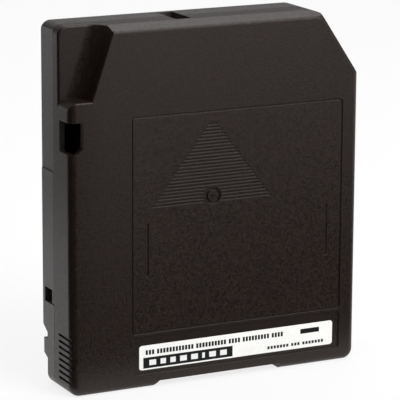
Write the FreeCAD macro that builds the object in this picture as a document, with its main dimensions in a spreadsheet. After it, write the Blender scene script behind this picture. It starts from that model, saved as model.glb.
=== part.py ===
import FreeCAD, Part
import math
import os
import re

import Sketcher
from FreeCAD import Placement, Rotation, Vector

# Half-inch tape cleaning cartridge with one reel and a leader pin, standing on its trailing end.
# X runs across, Z along its length to the end that enters the drive, and the labelled front faces -Y.
# A level is a height above the back face, counted towards the front, because that is how the
# two shells, the reel and everything between them stack up.

# Sizes
# Millimetres and degrees. Places across count from the centre line, places up from the trailing end.
SIZES = [
    # Casing
    ("width", 109.0),
    ("length", 125.0),
    ("thickness", 24.5),
    ("wall", 2.0),
    ("lead_wall", 3.0),
    ("seam", 10.3),
    ("seam_gap", 0.12),
    ("foot_radius", 3.8),
    ("lead_radius", 3.5),
    ("nose_radius", 7.0),
    ("cheek_radius", 6.0),
    ("cut_across", 13.8),
    ("cut_along", 20.7),
    ("bevel_depth", 5.8),
    ("bevel_run", 1.5),
    ("front_round", 2.5),
    ("back_round", 1.0),
    # Trailing end, with the length of its two feet, and the step in the back shell's side walls
    ("foot_left_length", 32.8),
    ("foot_right_length", 29.5),
    ("foot_recess_depth", 2.1),
    ("shoulder_drop", 50.0),
    ("shoulder_step", 0.4),
    # Corner pocket beside the leading end
    ("pocket_floor", 15.0),
    ("pocket_top", 16.2),
    ("pocket_foot", 8.1),
    ("pocket_along", 24.3),
    ("pocket_corner", 3.0),
    ("pocket_fillet", 6.0),
    ("pocket_lip", 0.8),
    ("pocket_brim", 0.6),
    # Notch in the left front edge and slot in the leading end
    ("notch_drop", 41.6),
    ("notch_height", 10.6),
    ("notch_width", 4.7),
    ("notch_floor", 16.0),
    ("notch_corner", 2.0),
    ("slot_left", 12.6),
    ("slot_width", 5.8),
    ("slot_back", 2.5),
    ("slot_front", 17.7),
    # Window, gripper notches and finger grips in the side walls
    ("window_up", 28.9),
    ("window_height", 5.1),
    ("window_back", 2.6),
    ("window_front", 8.1),
    ("tab_inset", 0.2),
    ("gripper_up", 15.7),
    ("gripper_height", 5.2),
    ("gripper_depth", 4.4),
    ("gripper_across", 6.0),
    ("gripper_slope", 2.8),
    ("heel_up", 9.0),
    ("heel_step", 1.4),
    ("grip_count", 8),
    ("grip_pitch", 2.13),
    ("grip_width", 0.9),
    ("grip_depth", 0.7),
    ("grip_up", 4.6),
    ("grip_back", 14.2),
    ("grip_front", 23.4),
    # Front face
    ("panel_left_margin", 22.4),
    ("panel_right_margin", 6.2),
    ("panel_top_margin", 30.7),
    ("panel_gap", 0.8),
    ("panel_depth", 0.15),
    ("panel_radius", 1.2),
    ("border_width", 0.5),
    ("border_depth", 0.5),
    ("label_left_margin", 22.8),
    ("label_right_margin", 6.3),
    ("label_bottom", 4.9),
    ("label_top", 18.5),
    ("label_recess", 0.6),
    ("label_side_margin", 2.5),
    ("label_bottom_margin", 1.5),
    ("label_height", 8.6),
    ("label_thickness", 0.15),
    ("label_radius", 1.0),
    ("arrow_top_margin", 2.7),
    ("arrow_side_margin", 7.5),
    ("arrow_below", 2.6),
    ("arrow_pitch", 1.15),
    ("arrow_groove", 0.5),
    ("arrow_depth", 0.35),
    ("ring_outer", 3.0),
    ("ring_inner", 1.85),
    ("ring_depth", 0.8),
    ("ring_clear", 0.6),
    ("mark_radius", 0.35),
    ("mark_slot_rise", 19.9),
    ("mark_slot_length", 18.5),
    ("mark_slot_width", 0.7),
    ("mark_slot_inset", 5.9),
    ("mark_slot_depth", 0.4),
    # Screws and their bosses
    ("screw_low_inset", 11.5),
    ("screw_low_up", 12.0),
    ("screw_left_inset", 7.0),
    ("screw_right_inset", 34.5),
    ("screw_lead_drop", 7.2),
    ("boss_radius", 3.2),
    ("boss_split", 6.0),
    ("screw_radius", 1.25),
    ("screw_length", 10.8),
    ("screw_head_radius", 2.6),
    ("screw_head_height", 1.3),
    ("screw_fit", 0.06),
    ("hole_spare", 0.5),
    ("head_fit", 0.3),
    # Reel
    ("reel_across", -1.8),
    ("reel_foot", 16.0),
    ("reel_head", 11.4),
    ("reel_side", 6.5),
    ("opening_radius", 21.0),
    ("seat_width", 2.4),
    ("seat_height", 1.1),
    ("seat_gap", 0.1),
    ("flange_height", 1.2),
    ("hub_radius", 25.0),
    ("hub_wall", 2.6),
    ("web_height", 2.2),
    ("weld_step", 1.2),
    ("tape_width", 12.65),
    ("tape_gap", 0.15),
    ("tape_wind", 4.5),
    ("drive_outer", 19.8),
    ("drive_inner", 15.2),
    ("drive_ring_height", 1.0),
    ("drive_tooth_height", 1.2),
    ("drive_teeth", 48),
    ("drive_tooth_angle", 3.6),
    ("clutch_outer", 13.8),
    ("clutch_inner", 8.5),
    ("clutch_height", 1.1),
    ("rib_gap", 1.6),
    ("rib_width", 1.2),
    # Brake
    ("brake_teeth", 24),
    ("brake_outer", 12.1),
    ("brake_inner", 9.3),
    ("brake_tooth_angle", 7.0),
    ("brake_tooth_height", 1.2),
    ("brake_tooth_gap", 0.2),
    ("brake_lift", 1.5),
    ("button_radius", 12.4),
    ("button_height", 1.8),
    ("sleeve_radius", 5.2),
    ("sleeve_height", 6.9),
    ("post_side", 5.0),
    ("post_fit", 0.1),
    ("post_foot", 11.2),
    ("spring_radius", 7.0),
    ("spring_wire", 0.8),
    ("spring_turns", 5),
    ("pad_radius", 7.6),
    ("pad_height", 1.1),
    ("pad_gap", 0.1),
    ("leg_radius", 1.15),
    ("leg_place", 5.8),
    ("leg_length", 3.1),
    ("leg_fit", 0.2),
    ("stub_radius", 2.5),
    # Corner door and leader pin
    ("door_radius", 9.5),
    ("door_clear", 1.0),
    ("door_bulge", 1.517),
    ("door_blade", 1.2),
    ("door_span", 98.0),
    ("door_low_angle", -22.0),
    ("door_end_gap", 0.3),
    ("door_web", 0.9),
    ("pivot_radius", 1.5),
    ("pivot_length", 2.2),
    ("pivot_fit", 0.06),
    ("pivot_sleeve", 1.1),
    ("pivot_sleeve_length", 3.8),
    ("mouth_above", 0.9),
    ("mouth_below", 4.8),
    ("door_spring_radius", 3.3),
    ("door_spring_wire", 0.5),
    ("door_spring_turns", 4),
    ("pin_reach", 7.0),
    ("pin_angle", -70.0),
    ("pin_radius", 1.5),
    ("pin_head_radius", 2.4),
    ("pin_head", 1.2),
    ("pin_collar", 0.5),
    ("pin_end_gap", 0.3),
    ("clip_wall", 0.6),
    ("clip_fit", 0.05),
    ("leaf", 0.35),
    ("leaf_fit", 0.1),
    ("leaf_reach", 2.6),
    ("leader_thickness", 0.25),
    ("leader_gap", 0.3),
    # Write-protect switch
    ("switch_inset", 10.5),
    ("switch_travel", 6.0),
    ("switch_fit", 0.2),
    ("knob_length", 7.0),
    ("knob_width", 4.6),
    ("knob_level", 6.0),
    ("knob_inset", 0.6),
    ("switch_plate", 1.2),
    ("switch_plate_over", 2.4),
    ("keeper", 1.0),
    # Memory chip
    ("chip_inset", 19.36),
    ("chip_up", 17.52),
    ("chip_angle", -52.0),
    ("chip_length", 13.0),
    ("chip_width", 8.0),
    ("chip_thickness", 0.9),
    ("chip_rail", 1.0),
    ("chip_fit", 0.1),
]

os.makedirs("parts", exist_ok=True)
doc = FreeCAD.newDocument("TapeCleaningCartridge")
sheet = doc.addObject("Spreadsheet::Sheet", "Sizes")
for row, (alias, number) in enumerate(SIZES, start=1):
    sheet.set(f"A{row}", alias)
    sheet.set(f"B{row}", str(number))
    sheet.setAlias(f"B{row}", alias)
doc.recompute()
ALIASES = {alias for alias, number in SIZES}


def value(text):
    """The number that an expression in the sheet's names comes to now."""
    return float(sheet.evalExpression(str(text)))


def bound(text):
    """The same expression as the other objects write it, with the sheet's name before each size."""
    return re.sub(r"[a-z_]+", lambda word: "Sizes." + word[0] if word[0] in ALIASES else word[0], text)


# Steps that every body uses

def new_body(label):
    body = doc.addObject("PartDesign::Body", label)
    body.Label = label
    return body


def sketch(body, name, role, offset):
    """A sketch on an origin plane of its body, moved by three bound distances along its own axes."""
    plane = next(item for item in body.Origin.OriginFeatures if item.Role == role)
    made = body.newObject("Sketcher::SketchObject", name)
    made.AttachmentSupport = (plane, [""])
    made.MapMode = "FlatFace"
    made.AttachmentOffset = Placement(Vector(*(value(part) for part in offset)), Rotation())
    for axis, part in zip("xyz", offset):
        made.setExpression(f"AttachmentOffset.Base.{axis}", bound(part))
    return made


def face_sketch(body, name, level, across="0", up="0"):
    """Seen from the front: x across, y up, at a level above the back face."""
    return sketch(body, name, "XZ_Plane", (across, up, f"{level} - thickness / 2"))


def side_sketch(body, name, across, up="0"):
    """Seen from the right: x towards the back, y up."""
    return sketch(body, name, "YZ_Plane", ("0", up, across))


def end_sketch(body, name, up):
    """Seen from the leading end: x across, y towards the back."""
    return sketch(body, name, "XY_Plane", ("0", "0", up))


def at(level):
    """The place in a side or end sketch of a level above the back face."""
    return f"thickness / 2 - ({level})"


def constrain(made, rules):
    """Add (constraint, expression or None) pairs and bind those that have an expression."""
    numbers = made.addConstraint([rule for rule, text in rules])
    for number, (rule, text) in zip(numbers, rules):
        if text is not None:
            made.setExpression(f"Constraints[{number}]", bound(text))


def outline(made, corners):
    """A closed profile through (x, y) or (x, y, radius) corners, given as expressions."""
    count = len(corners)
    points = [Vector(value(corner[0]), value(corner[1]), 0) for corner in corners]
    radii = [value(corner[2]) if len(corner) > 2 else 0 for corner in corners]
    ends, centres = [], []
    for number, point in enumerate(points):
        back = (points[number - 1] - point).normalize()
        ahead = (points[(number + 1) % count] - point).normalize()
        half = back.getAngle(ahead) / 2
        reach = radii[number] / math.tan(half)
        ends.append((point + back * reach, point + ahead * reach))
        centres.append(point + (back + ahead).normalize() * radii[number] / math.sin(half)
                       if radii[number] else point)
    lines = [made.addGeometry(Part.LineSegment(ends[number][1], ends[(number + 1) % count][0]), False)
             for number in range(count)]
    rules = []
    for number, corner in enumerate(corners):
        before, after = lines[number - 1], lines[number]
        if radii[number]:
            arrive, leave = ends[number]
            turn = (arrive - centres[number]).cross(leave - centres[number]).z
            first, last = (arrive, leave) if turn > 0 else (leave, arrive)
            angles = [math.atan2(end.y - centres[number].y, end.x - centres[number].x)
                      for end in (first, last)]
            circle = Part.Circle(centres[number], Vector(0, 0, 1), radii[number])
            arc = made.addGeometry(Part.ArcOfCircle(circle, *angles), False)
            entry, leaving = (1, 2) if turn > 0 else (2, 1)
            fixed = made.addGeometry(Part.Point(points[number]), True)
            rules += [(Sketcher.Constraint("Tangent", before, 2, arc, entry), None),
                      (Sketcher.Constraint("Tangent", arc, leaving, after, 1), None),
                      (Sketcher.Constraint("Radius", arc, radii[number]), corner[2]),
                      (Sketcher.Constraint("PointOnObject", fixed, 1, before), None),
                      (Sketcher.Constraint("PointOnObject", fixed, 1, after), None)]
        else:
            fixed = after
            rules.append((Sketcher.Constraint("Coincident", before, 2, after, 1), None))
        rules += [(Sketcher.Constraint("DistanceX", fixed, 1, points[number].x), corner[0]),
                  (Sketcher.Constraint("DistanceY", fixed, 1, points[number].y), corner[1])]
    constrain(made, rules)
    return made


def rectangle(made, left, bottom, right, top, radius=None):
    extra = () if radius is None else (radius,)
    return outline(made, [(left, bottom) + extra, (right, bottom) + extra,
                          (right, top) + extra, (left, top) + extra])


def circle(made, radius, x="0", y="0"):
    shape = Part.Circle(Vector(value(x), value(y), 0), Vector(0, 0, 1), value(radius))
    number = made.addGeometry(shape, False)
    constrain(made, [(Sketcher.Constraint("DistanceX", number, 3, value(x)), x),
                     (Sketcher.Constraint("DistanceY", number, 3, value(y)), y),
                     (Sketcher.Constraint("Radius", number, value(radius)), radius)])
    return made


def sector(made, inner, outer, start, span):
    """A piece of a ring about the sketch's origin, between two radii, from a start angle in degrees."""
    arms = [math.radians(value(start)), math.radians(value(f"{start} + {span}"))]
    radii = [value(inner), value(outer)]
    arcs = [made.addGeometry(Part.ArcOfCircle(Part.Circle(Vector(), Vector(0, 0, 1), radius), *arms), False)
            for radius in radii]
    spots = [[Vector(radius * math.cos(arm), radius * math.sin(arm), 0) for radius in radii] for arm in arms]
    sides = [made.addGeometry(Part.LineSegment(*spot), False) for spot in spots]
    arm_lines = [made.addGeometry(Part.LineSegment(Vector(), spot[0]), True) for spot in spots]
    rules = []
    for arc, radius in zip(arcs, (inner, outer)):
        rules += [(Sketcher.Constraint("Coincident", arc, 3, -1, 1), None),
                  (Sketcher.Constraint("Radius", arc, value(radius)), radius)]
    for place in (0, 1):
        rules += [(Sketcher.Constraint("Coincident", sides[place], 1, arcs[0], place + 1), None),
                  (Sketcher.Constraint("Coincident", sides[place], 2, arcs[1], place + 1), None),
                  (Sketcher.Constraint("Coincident", arm_lines[place], 1, -1, 1), None),
                  (Sketcher.Constraint("Coincident", arm_lines[place], 2, arcs[0], place + 1), None),
                  (Sketcher.Constraint("PointOnObject", arcs[1], place + 1, arm_lines[place]), None)]
    constrain(made, rules)
    angles = (start, f"{start} + {span}")
    constrain(made, [(Sketcher.Constraint("Angle", -1, 1, arm_lines[place], 1, arms[place]),
                      f"({angles[place]}) * 1 deg") for place in (0, 1)])
    return made


def settle(body, feature, sign):
    """Recompute, and stop if the feature didn't add (1) or take away (-1) anything."""
    before = body.Shape.Volume if not body.Shape.isNull() else 0
    body.Tip = feature
    doc.recompute()
    change = (body.Shape.Volume - before) * sign
    if "Invalid" in feature.State or change <= 1e-6:
        raise RuntimeError(f"{body.Label}: {feature.Name} changed the volume by {change}")
    return feature


def pad(body, profile, length, back=False):
    """Pad a profile by a bound length, towards the front, or towards the back."""
    feature = body.newObject("PartDesign::Pad", profile.Name + "_pad")
    feature.Profile = profile
    feature.Reversed = back
    feature.setExpression("Length", bound(length))
    return settle(body, feature, 1)


def pocket(body, profile, length, onward=False):
    """Cut a profile against its sketch's direction, or onward with it, by a bound length."""
    feature = body.newObject("PartDesign::Pocket", profile.Name + "_cut")
    feature.Profile = profile
    feature.Reversed = onward
    feature.setExpression("Length", bound(length))
    return settle(body, feature, -1)


def turn(body, profile, axis="H_Axis"):
    feature = body.newObject("PartDesign::Revolution", profile.Name + "_turned")
    feature.Profile = profile
    feature.ReferenceAxis = (profile, [axis])
    feature.Angle = 360
    return settle(body, feature, 1)


def round_edges(body, radius, wanted):
    """Fillet the edges of the body for which the test wanted(edge) holds."""
    names = [f"Edge{number}" for number, edge in enumerate(body.Shape.Edges, start=1) if wanted(edge)]
    base = body.Tip
    feature = body.newObject("PartDesign::Fillet", f"{body.Label}_round")
    feature.Base = (base, names)
    feature.setExpression("Radius", bound(radius))
    body.Tip = feature
    doc.recompute()
    if not names or "Invalid" in feature.State:
        raise RuntimeError(f"{body.Label}: rounding by {radius} failed on {names}")
    return feature


def repeat_round(body, feature, count, sign):
    """Repeat a feature around its own sketch's normal, a number of times from the sheet."""
    pattern = body.newObject("PartDesign::PolarPattern", feature.Name + "_round")
    pattern.Originals = [feature]
    pattern.Axis = (feature.Profile[0], ["N_Axis"])
    pattern.Angle = 360
    pattern.setExpression("Occurrences", bound(count))
    return settle(body, pattern, sign)


def repeat_up(body, feature, pitch, count, sign):
    """Repeat a feature along its sketch's vertical, at a pitch and a number from the sheet."""
    pattern = body.newObject("PartDesign::LinearPattern", feature.Name + "_row")
    pattern.Originals = [feature]
    pattern.Direction = (feature.Profile[0], ["V_Axis"])
    pattern.setExpression("Length", bound(f"{pitch} * ({count} - 1)"))
    pattern.setExpression("Occurrences", bound(count))
    return settle(body, pattern, sign)


# Places that more than one piece uses

SIDE = "width / 2"
CHEEK_UP = "(length - cut_along)"
NOSE_ACROSS = "(width / 2 - cut_across)"
# Share of the corner cut's length that goes across, and that goes along
CUT_LENGTH = "sqrt(cut_across * cut_across + cut_along * cut_along)"
ACROSS_SHARE = f"(cut_along / {CUT_LENGTH})"
UP_SHARE = f"(cut_across / {CUT_LENGTH})"
FRONT_FLOOR = "(thickness - wall)"
PANEL_LEFT = "(width / 2 - panel_left_margin)"
PANEL_RIGHT = "(width / 2 - panel_right_margin)"
PANEL_BOTTOM = "(label_top + panel_gap)"
PANEL_TOP = "(length - panel_top_margin)"
LABEL_LEFT = "(width / 2 - label_left_margin)"
LABEL_RIGHT = "(width / 2 - label_right_margin)"
# The reel stands halfway along its room, and its flanges leave a margin on every side of it
REEL_UP = "((length + reel_foot - reel_head) / 2)"
FLANGE_RADIUS = "min(width / 2 - reel_side; (length - reel_foot - reel_head) / 2)"
RIB_INNER = f"({FLANGE_RADIUS} + rib_gap)"
FLANGE_BACK = "(wall + seat_height + seat_gap)"
WEB_FRONT = f"({FLANGE_BACK} + web_height)"
TAPE_BACK = f"({FLANGE_BACK} + flange_height + tape_gap)"
TAPE_FRONT = f"({TAPE_BACK} + tape_width)"
TAPE_RADIUS = "(hub_radius + tape_wind)"
FLANGE_FRONT = f"({TAPE_FRONT} + tape_gap)"
BUTTON_BACK = f"({WEB_FRONT} + brake_tooth_height + brake_tooth_gap)"
PAD_BACK = f"({WEB_FRONT} + pad_gap)"
# The door clears the leading wall, and its blade bulges a little into the mouth in the cut corner's wall
DOOR_UP = "(length - lead_wall - door_radius - door_clear)"
DOOR_DEPTH = "(door_radius - door_bulge)"
DOOR_ACROSS = (f"(width / 2 - (lead_wall + {DOOR_DEPTH} - (length - cut_along - {DOOR_UP}) * {UP_SHARE})"
               f" / {ACROSS_SHARE})")
DOOR_CHORD = f"sqrt(door_radius * door_radius - {DOOR_DEPTH} * {DOOR_DEPTH})"
PIN_ACROSS = f"({DOOR_ACROSS} + pin_reach * cos(pin_angle * 1 deg))"
PIN_UP = f"({DOOR_UP} + pin_reach * sin(pin_angle * 1 deg))"
SWITCH_WALL = "(foot_recess_depth + wall)"
SWITCH_LEFT = "(switch_inset - width / 2)"
CHIP_ACROSS = "(width / 2 - chip_inset)"
SCREWS = [("screw_low_inset - width / 2", "screw_low_up"), ("width / 2 - screw_low_inset", "screw_low_up"),
          ("screw_left_inset - width / 2", "length - screw_lead_drop"),
          ("width / 2 - screw_right_inset", "length - screw_lead_drop")]
# Ribs round the reel, as start angle and span: all round but for the corner that the tape leaves by
RIBS = [("-86", "70"), ("192", "66"), ("80", "84")]


def reel_sketch(body, name):
    """A half section of a turned piece on the reel's axis: x is the depth, y the radius."""
    return side_sketch(body, name, "reel_across", REEL_UP)


def casing_outline(made):
    """The casing seen from the front, with its cut corner at the upper right."""
    return outline(made, [
        (f"-{SIDE}", "0", "foot_radius"),
        (SIDE, "0", "foot_radius"),
        (SIDE, CHEEK_UP, "cheek_radius"),
        (NOSE_ACROSS, "length", "nose_radius"),
        (f"-{SIDE}", "length", "lead_radius"),
    ])


def inner_corner():
    """Where the inside of the cut corner meets the right wall and the leading wall."""
    inset = f"lead_wall / {ACROSS_SHARE}"
    rise = "cut_along / cut_across"
    meets_side = f"{CHEEK_UP} - ({inset} - wall) * {rise}"
    meets_lead = f"{NOSE_ACROSS} - {inset} + lead_wall / ({rise})"
    return meets_side, meets_lead


def cut_sides(body):
    """Take the step in the back shell's side walls, above the shoulder."""
    for side, sign in (("left", "-"), ("right", "")):
        made = end_sketch(body, f"{side}_step", "length - shoulder_drop")
        near = f"{sign}({SIDE} - shoulder_step)"
        far = f"{sign}({SIDE} + shoulder_step)"
        rectangle(made, near, "-thickness", far, "thickness")
        pocket(body, made, "shoulder_drop", onward=True)


def cut_foot(body, name):
    """Take the wide shallow recess out of the trailing end; its left end slopes at 45 degrees."""
    made = face_sketch(body, f"{name}_foot", "thickness")
    left, right = f"foot_left_length - {SIDE}", f"{SIDE} - foot_right_length"
    outline(made, [(f"{left} - 2 * foot_recess_depth", "-foot_recess_depth"),
                   (right, "-foot_recess_depth"), (right, "foot_recess_depth"), (left, "foot_recess_depth")])
    return pocket(body, made, "thickness")


def cut_mouth(body, name, start, end):
    """Open the cut corner for the door and the leader pin, between two levels."""
    def spot(along, outward):
        return (f"{DOOR_ACROSS} + ({along}) * {UP_SHARE} + ({outward}) * {ACROSS_SHARE}",
                f"{DOOR_UP} - ({along}) * {ACROSS_SHARE} + ({outward}) * {UP_SHARE}")

    made = face_sketch(body, f"{name}_mouth", end)
    above, below = f"-({DOOR_CHORD} + mouth_above)", f"{DOOR_CHORD} + mouth_below"
    inner, outer = f"{DOOR_DEPTH} - lead_wall / 2", f"{DOOR_DEPTH} + lead_wall * 2"
    outline(made, [spot(above, inner), spot(below, inner), spot(below, outer), spot(above, outer)])
    return pocket(body, made, f"{end} - ({start})")


def add_ribs(body, name, start, end):
    """Curved ribs that keep the reel in the middle of the casing."""
    for number, (angle, span) in enumerate(RIBS):
        made = face_sketch(body, f"{name}_rib_{number}", start, "reel_across", REEL_UP)
        sector(made, RIB_INNER, f"{RIB_INNER} + rib_width", angle, span)
        pad(body, made, f"{end} - ({start})")


def leaf_corners(reach_out, reach_back):
    """Corners of a rectangle round the parked pin, open towards the mouth, in its own directions."""
    return [(f"{reach_out} * {ACROSS_SHARE} {sign} {reach_back} * {UP_SHARE}",
             f"{reach_out} * {UP_SHARE} {other} {reach_back} * {ACROSS_SHARE}")
            for sign, other in (("-", "+"), ("+", "-"))]


# Front shell

def front_shell():
    """The moulded half that carries the label, the arrow, the grips and the brake's post."""
    body = new_body("front_shell")
    start = "(seam + seam_gap)"
    made = casing_outline(face_sketch(body, "front_outline", start))
    pad(body, made, f"thickness - {start}")
    half = value("thickness / 2")
    round_edges(body, "front_round", lambda edge: all(abs(vertex.Y + half) < 1e-6 for vertex in edge.Vertexes))
    cut_bevels(body)

    cavity = face_sketch(body, "front_cavity", start)
    meets_side, meets_lead = inner_corner()
    lead = "length - lead_wall"
    slant = "(pocket_top - pocket_foot) / pocket_along"
    slant_wall = f"wall * sqrt(1 + {slant} * {slant})"
    pocket_edge = f"-{SIDE} + pocket_top + {slant_wall}"
    below = "(pocket_along + wall)"
    outline(cavity, [
        (f"-{SIDE} + wall", SWITCH_WALL, "foot_radius - wall"),
        (f"{SIDE} - wall", SWITCH_WALL, "foot_radius - wall"),
        (f"{SIDE} - wall", meets_side),
        (meets_lead, lead),
        (f"{pocket_edge} - lead_wall * {slant}", lead),
        (f"{pocket_edge} - {below} * {slant}", f"length - {below}"),
        (f"-{SIDE} + wall", f"length - {below}"),
    ])
    pocket(body, cavity, f"{FRONT_FLOOR} - {start}", onward=True)

    add_ribs(body, "front", start, f"{FRONT_FLOOR} + wall / 2")
    bosses = face_sketch(body, "front_bosses", "boss_split")
    holes = face_sketch(body, "front_holes", "boss_split")
    for across, up in SCREWS:
        circle(bosses, "boss_radius", across, up)
        circle(holes, "screw_radius + screw_fit", across, up)
    pad(body, bosses, f"{FRONT_FLOOR} + wall / 2 - boss_split")
    pocket(body, holes, "wall + screw_length + hole_spare - boss_split", onward=True)
    post = face_sketch(body, "brake_post", "post_foot", "reel_across", REEL_UP)
    rectangle(post, "-post_side / 2", "-post_side / 2", "post_side / 2", "post_side / 2")
    pad(body, post, f"{FRONT_FLOOR} + wall / 2 - post_foot")
    pivot = face_sketch(body, "front_pivot", f"{FRONT_FLOOR} - pivot_length", DOOR_ACROSS, DOOR_UP)
    pad(body, circle(pivot, "pivot_radius"), "pivot_length + wall / 2")

    cut_corner_pocket(body)
    cut_foot(body, "front")
    cut_edge_notch(body)
    cut_lead_slot(body, "front", start, "slot_front")
    cut_mouth(body, "front", start, FRONT_FLOOR)
    tab = side_sketch(body, "window_tab", f"-{SIDE} + tab_inset")
    rectangle(tab, at("window_front"), "window_up + seam_gap", at("seam + wall"),
              "window_up + window_height - seam_gap")
    pad(body, tab, "wall - tab_inset")
    cut_front_face(body)
    cut_grips(body)
    return body


def cut_bevels(body):
    """Slope the leading edge and the cut corner's edge back, over the front of the casing."""
    profile = side_sketch(body, "lead_bevel", f"-{SIDE} - 1")
    outline(profile, [(at("thickness - bevel_depth"), "length"),
                      (at("thickness + bevel_depth"), "length - 2 * bevel_run"),
                      (at("thickness + bevel_depth"), "length + 1"),
                      (at("thickness - bevel_depth"), "length + 1")])
    pocket(body, profile, "width + 2", onward=True)
    profile = side_sketch(body, "corner_bevel", "0")
    angle = math.degrees(math.atan2(value("cut_along"), value("cut_across")))
    profile.AttachmentOffset = Placement(Vector(0, value("length"), value(NOSE_ACROSS)),
                                         Rotation(Vector(1, 0, 0), angle))
    profile.setExpression("AttachmentOffset.Base.y", bound("length"))
    profile.setExpression("AttachmentOffset.Base.z", bound(NOSE_ACROSS))
    profile.setExpression("AttachmentOffset.Rotation.Angle", bound("atan(cut_along / cut_across)"))
    outline(profile, [(at("thickness - bevel_depth"), "0"),
                      (at("thickness + bevel_depth"), "-2 * bevel_run"),
                      (at("thickness + bevel_depth"), "cut_across"),
                      (at("thickness - bevel_depth"), "cut_across")])
    feature = pocket(body, profile, f"2 * {CUT_LENGTH} + cut_across", onward=True)
    feature.Midplane = True
    doc.recompute()


def cut_corner_pocket(body):
    """The pocket at the upper left, with its slanted wall, rounded foot and rounded edges."""
    made = face_sketch(body, "corner_pocket", "thickness")
    slant = "(pocket_top - pocket_foot) / pocket_along"
    over = "bevel_depth"
    outline(made, [(f"-{SIDE} - {over}", "length - pocket_along - 2 * pocket_corner"),
                   (f"-{SIDE}", "length - pocket_along - 2 * pocket_corner"),
                   (f"-{SIDE}", "length - pocket_along", "pocket_corner"),
                   (f"-{SIDE} + pocket_foot", "length - pocket_along"),
                   (f"-{SIDE} + pocket_top + {over} * {slant}", f"length + {over}"),
                   (f"-{SIDE} - {over}", f"length + {over}")])
    pocket(body, made, "thickness - pocket_floor")
    floor = value("thickness / 2 - pocket_floor")
    foot = value(f"-{SIDE} + pocket_foot")
    lowest = value("length - pocket_along")
    face = value("-thickness / 2")
    rim_left = value(f"-{SIDE}")
    corner = value("pocket_corner")

    def on_floor(edge):
        return all(abs(vertex.Y - floor) < 1e-6 and vertex.Z > lowest - corner - 1e-6
                   for vertex in edge.Vertexes)

    def is_foot(edge):
        middle = edge.valueAt((edge.FirstParameter + edge.LastParameter) / 2)
        slanted = on_floor(edge) and min(vertex.X for vertex in edge.Vertexes) > foot - 1e-6
        return slanted and len(edge.Vertexes) == 2 and middle.z > lowest + 1

    def is_rim(edge):
        middle = edge.valueAt((edge.FirstParameter + edge.LastParameter) / 2)
        outside = middle.x < rim_left + 1e-6 or middle.z > value("length - lead_radius")
        return on_floor(edge) and outside

    def is_brim(edge):
        return all(abs(vertex.Y - face) < 1e-6 and vertex.Z > lowest - 1e-6
                   and vertex.X < rim_left + value("pocket_top") for vertex in edge.Vertexes)

    round_edges(body, "pocket_fillet", is_foot)
    round_edges(body, "pocket_lip", is_rim)
    round_edges(body, "pocket_brim", is_brim)


def cut_edge_notch(body):
    """The locating notch through the left front edge, open to the inside."""
    made = face_sketch(body, "edge_notch", "thickness")
    right = f"-{SIDE} + notch_width"
    low = "length - notch_drop"
    outline(made, [(f"-{SIDE} - 1", low),
                   (f"{right} - notch_corner", low),
                   (right, f"{low} + notch_corner"),
                   (right, f"{low} + notch_height"),
                   (f"-{SIDE} - 1", f"{low} + notch_height")])
    return pocket(body, made, "thickness - notch_floor")


def cut_lead_slot(body, name, start, end):
    """The slot in the leading wall, between two levels."""
    made = face_sketch(body, f"{name}_lead_slot", end)
    rectangle(made, "-slot_left", "length - lead_wall - 0.5", "-slot_left + slot_width", "length + 1")
    return pocket(body, made, f"{end} - ({start})")


def cut_front_face(body):
    """Panel with its grooved border, arrow of grooves, centre ring, two marks and the label's recess."""
    floor = "(thickness - panel_depth)"
    made = face_sketch(body, "panel", "thickness")
    rectangle(made, f"-{PANEL_LEFT}", PANEL_BOTTOM, PANEL_RIGHT, PANEL_TOP, "panel_radius")
    pocket(body, made, "panel_depth")
    border = face_sketch(body, "panel_border", floor)
    rectangle(border, f"-{PANEL_LEFT}", PANEL_BOTTOM, PANEL_RIGHT, PANEL_TOP, "panel_radius")
    rectangle(border, f"border_width - {PANEL_LEFT}", f"{PANEL_BOTTOM} + border_width",
              f"{PANEL_RIGHT} - border_width", f"{PANEL_TOP} - border_width", "panel_radius - border_width")
    pocket(body, border, "border_depth - panel_depth")
    made = face_sketch(body, "label_bed", "thickness")
    rectangle(made, f"-{LABEL_LEFT}", "label_bottom", LABEL_RIGHT, "label_top", "label_radius")
    pocket(body, made, "label_recess")

    ring = face_sketch(body, "centre_ring", floor, "reel_across", REEL_UP)
    circle(circle(ring, "ring_outer"), "ring_inner")
    pocket(body, ring, "ring_depth")
    pocket(body, circle(face_sketch(body, "centre_mark", floor, "reel_across", REEL_UP), "mark_radius"),
           "ring_depth")
    for side, place in (("left", f"mark_slot_inset - {PANEL_LEFT}"),
                        ("right", f"{PANEL_RIGHT} - mark_slot_inset")):
        slot = face_sketch(body, f"mark_{side}", floor, place, f"{PANEL_BOTTOM} + mark_slot_rise")
        rectangle(slot, "-mark_slot_width / 2", "0", "mark_slot_width / 2", "mark_slot_length",
                  "mark_slot_width * 0.45")
        pocket(body, slot, "mark_slot_depth")

    grooves = face_sketch(body, "arrow", floor, "reel_across")
    top, base = value(f"{PANEL_TOP} - arrow_top_margin"), value(f"{REEL_UP} - arrow_below")
    half_base = value(f"{PANEL_LEFT} + reel_across - arrow_side_margin")
    pitch, groove, clear = value("arrow_pitch"), value("arrow_groove"), value("ring_outer + ring_clear")
    up = top - 2 * pitch
    while up > base:
        reach = half_base * (top - up) / (top - base)
        drop = abs(up - value(REEL_UP))
        gap = math.sqrt(clear ** 2 - drop ** 2) if drop < clear else 0
        for left, right in ([(-reach, -gap), (gap, reach)] if gap else [(-reach, reach)]):
            box = [Vector(left, up, 0), Vector(right, up, 0),
                   Vector(right, up + groove, 0), Vector(left, up + groove, 0)]
            for first, second in zip(box, box[1:] + box[:1]):
                grooves.addGeometry(Part.LineSegment(first, second), False)
        up -= pitch
    pocket(body, grooves, "arrow_depth")


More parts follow.
